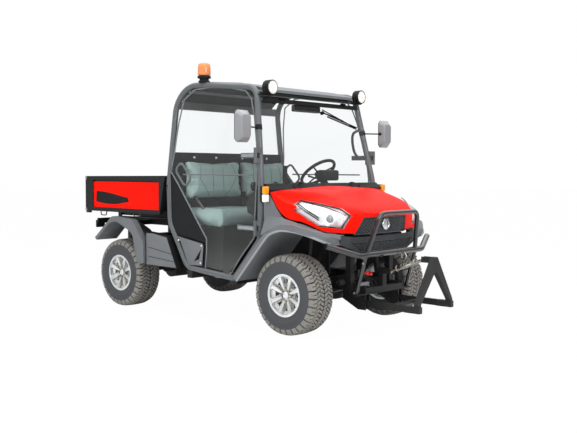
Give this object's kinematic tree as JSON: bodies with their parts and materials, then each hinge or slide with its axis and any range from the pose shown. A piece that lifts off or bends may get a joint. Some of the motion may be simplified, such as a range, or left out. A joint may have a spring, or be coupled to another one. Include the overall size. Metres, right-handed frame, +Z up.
{
  "type": "side-by-side utility vehicle with front hitch",
  "caption": "Side-by-side utility vehicle with a glazed cab, red hood, tipping cargo bed, brush guard and a lifting A-frame hitch ahead of the front wheels",
  "frame": {"origin": "on the ground under the middle of the vehicle", "axes": "+X forward, +Y to the driver's left, +Z up"},
  "size_m": [3.473, 1.97, 2.1404],
  "materials": {
    "tyre": "black rubber with a chevron tread",
    "rim": "machined silver alloy",
    "frame": "satin dark grey powder coat",
    "chassis": "satin black powder coat",
    "tub": "dark green-grey mat",
    "black_plastic": "moulded black plastic",
    "grey_plastic": "moulded grey plastic",
    "red": "glossy red",
    "glass": "lightly tinted glass",
    "lens": "clear lamp with chrome inside",
    "vinyl": "grey-green vinyl",
    "mirror_shell": "silver-grey shell",
    "beacon": "amber dome",
    "signal": "amber and clear",
    "tail": "red",
    "engine": "plain block",
    "steel": "bare steel",
    "driveline": "dark cast and forged parts",
    "zinc": "zinc plated",
    "guard": "gloss black"
  },
  "bodies": {
    "chassis": {"rops_frame": "frame", "chassis_frame": "chassis", "floor_tub": "tub", "rear_wall": "black_plastic", "cab_glass": "glass", "roof": "grey_plastic", "cowl": "black_plastic", "dashboard": "black_plastic", "seat_back_right": "vinyl", "seat_back_left": "vinyl", "seat_cushion_right": "vinyl", "seat_cushion_left": "vinyl", "side_panels": "black_plastic", "front_fascia": "grey_plastic", "front_fenders": "grey_plastic", "rear_fenders": "grey_plastic", "brush_guard": "guard", "hitch_mount": "chassis", "engine": "engine", "muffler": "steel", "rear_axle": "driveline", "front_drive": "driveline", "mirrors": "mirror_shell", "work_lamps": "black_plastic", "beacon": "beacon", "signal_lamps": "signal", "tail_lamps": "tail", "wiper": "black_plastic"},
    "wheel_front_left": {"tyre_front_left": "tyre", "rim_front_left": "rim"},
    "wheel_front_right": {"tyre_front_right": "tyre", "rim_front_right": "rim"},
    "wheel_rear_left": {"tyre_rear_left": "tyre", "rim_rear_left": "rim"},
    "wheel_rear_right": {"tyre_rear_right": "tyre", "rim_rear_right": "rim"},
    "steer_left": {"knuckle_left": "driveline"},
    "steer_right": {"knuckle_right": "driveline"},
    "rack": {"tie_rods": "steel"},
    "hand_wheel": {"steering_wheel": "black_plastic"},
    "door_left": {"door_glass_left": "glass", "door_hardware_left": "frame"},
    "door_right": {"door_glass_right": "glass", "door_hardware_right": "frame"},
    "hood": {"hood_shell": "red", "headlamps": "lens", "grille": "black_plastic"},
    "bed": {"bed_tub": "chassis", "bed_skins": "red"},
    "gate": {"tailgate": "chassis"},
    "barrel": {"lift_barrel": "chassis"},
    "ram": {"lift_rod": "steel"},
    "arms": {"lift_arms": "chassis"},
    "frame": {"a_frame": "chassis"},
    "link": {"top_link": "zinc"}
  },
  "joints": [
    {"name": "spin_rear_left", "type": "hinge", "parent": "chassis", "child": "wheel_rear_left", "pos_m": [-1.1915, 0.6125, 0.31], "axis": [0, 1, 0], "continuous": true},
    {"name": "spin_rear_right", "type": "hinge", "parent": "chassis", "child": "wheel_rear_right", "pos_m": [-1.1915, -0.6125, 0.31], "axis": [0, 1, 0], "continuous": true},
    {"name": "steer_left", "type": "hinge", "parent": "chassis", "child": "steer_left", "pos_m": [0.8485, 0.5, 0.212], "axis": [0, -0.1864, 0.9825], "range_deg": [-25, 25]},
    {"name": "spin_front_left", "type": "hinge", "parent": "steer_left", "child": "wheel_front_left", "pos_m": [0.8485, 0.6125, 0.31], "axis": [0, 1, 0], "continuous": true},
    {"name": "steer_right", "type": "hinge", "parent": "chassis", "child": "steer_right", "pos_m": [0.8485, -0.5, 0.212], "axis": [0, 0.1864, 0.9825], "range_deg": [-25, 25]},
    {"name": "spin_front_right", "type": "hinge", "parent": "steer_right", "child": "wheel_front_right", "pos_m": [0.8485, -0.6125, 0.31], "axis": [0, 1, 0], "continuous": true},
    {"name": "rack_slide", "type": "slide", "parent": "chassis", "child": "rack", "axis": [0, 1, 0], "range_m": [-0.0567, 0.0567]},
    {"name": "hand_wheel_turn", "type": "hinge", "parent": "chassis", "child": "hand_wheel", "pos_m": [0.2885, 0.33, 1.235], "axis": [-0.6428, 0, 0.766], "range_deg": [-450, 450]},
    {"name": "door_left_swing", "type": "hinge", "parent": "chassis", "child": "door_left", "pos_m": [0.5785, 0.757, 1.086], "axis": [0, 0, -1], "range_deg": [0, 75]},
    {"name": "door_right_swing", "type": "hinge", "parent": "chassis", "child": "door_right", "pos_m": [0.5785, -0.757, 1.086], "axis": [0, 0, 1], "range_deg": [0, 75]},
    {"name": "hood_lift", "type": "hinge", "parent": "chassis", "child": "hood", "pos_m": [0.6825, 0, 1.099], "axis": [0, -1, 0], "range_deg": [0, 50]},
    {"name": "bed_tilt", "type": "hinge", "parent": "chassis", "child": "bed", "pos_m": [-1.6315, 0, 0.836], "axis": [0, -1, 0], "range_deg": [0, 45]},
    {"name": "gate_drop", "type": "hinge", "parent": "bed", "child": "gate", "pos_m": [-1.6845, 0, 0.857], "axis": [0, -1, 0], "range_deg": [0, 90]},
    {"name": "barrel_swing", "type": "hinge", "parent": "chassis", "child": "barrel", "pos_m": [-0.8915, 0.298, 0.452], "axis": [0, -1, 0], "range_deg": [-9, 1]},
    {"name": "ram_slide", "type": "slide", "parent": "barrel", "child": "ram", "axis": [-0.6687, 0, 0.7435], "range_m": [0, 0.296]},
    {"name": "arms_lift", "type": "hinge", "parent": "chassis", "child": "arms", "pos_m": [1.2335, 0, 0.236], "axis": [0, -1, 0], "range_deg": [-8, 20]},
    {"name": "frame_tilt", "type": "hinge", "parent": "arms", "child": "frame", "pos_m": [1.6295, 0, 0.236], "axis": [0, -1, 0], "range_deg": [-11.5, 5]},
    {"name": "link_swing", "type": "hinge", "parent": "chassis", "child": "link", "pos_m": [1.3065, 0, 0.474], "axis": [0, -1, 0], "range_deg": [-10.5, 26]}
  ],
  "couplings": [
    {"joint": "steer_left", "follows": "steer_right", "ratio": 1},
    {"joint": "rack_slide", "follows": "steer_right", "m_per_rad": 0.13},
    {"joint": "hand_wheel_turn", "follows": "steer_right", "ratio": 17.5},
    {"joint": "barrel_swing", "follows": "bed_tilt", "ratio": -0.19},
    {"joint": "ram_slide", "follows": "bed_tilt", "m_per_rad": 0.3746},
    {"joint": "frame_tilt", "follows": "arms_lift", "ratio": -0.55},
    {"joint": "link_swing", "follows": "arms_lift", "ratio": 1.27}
  ]
}
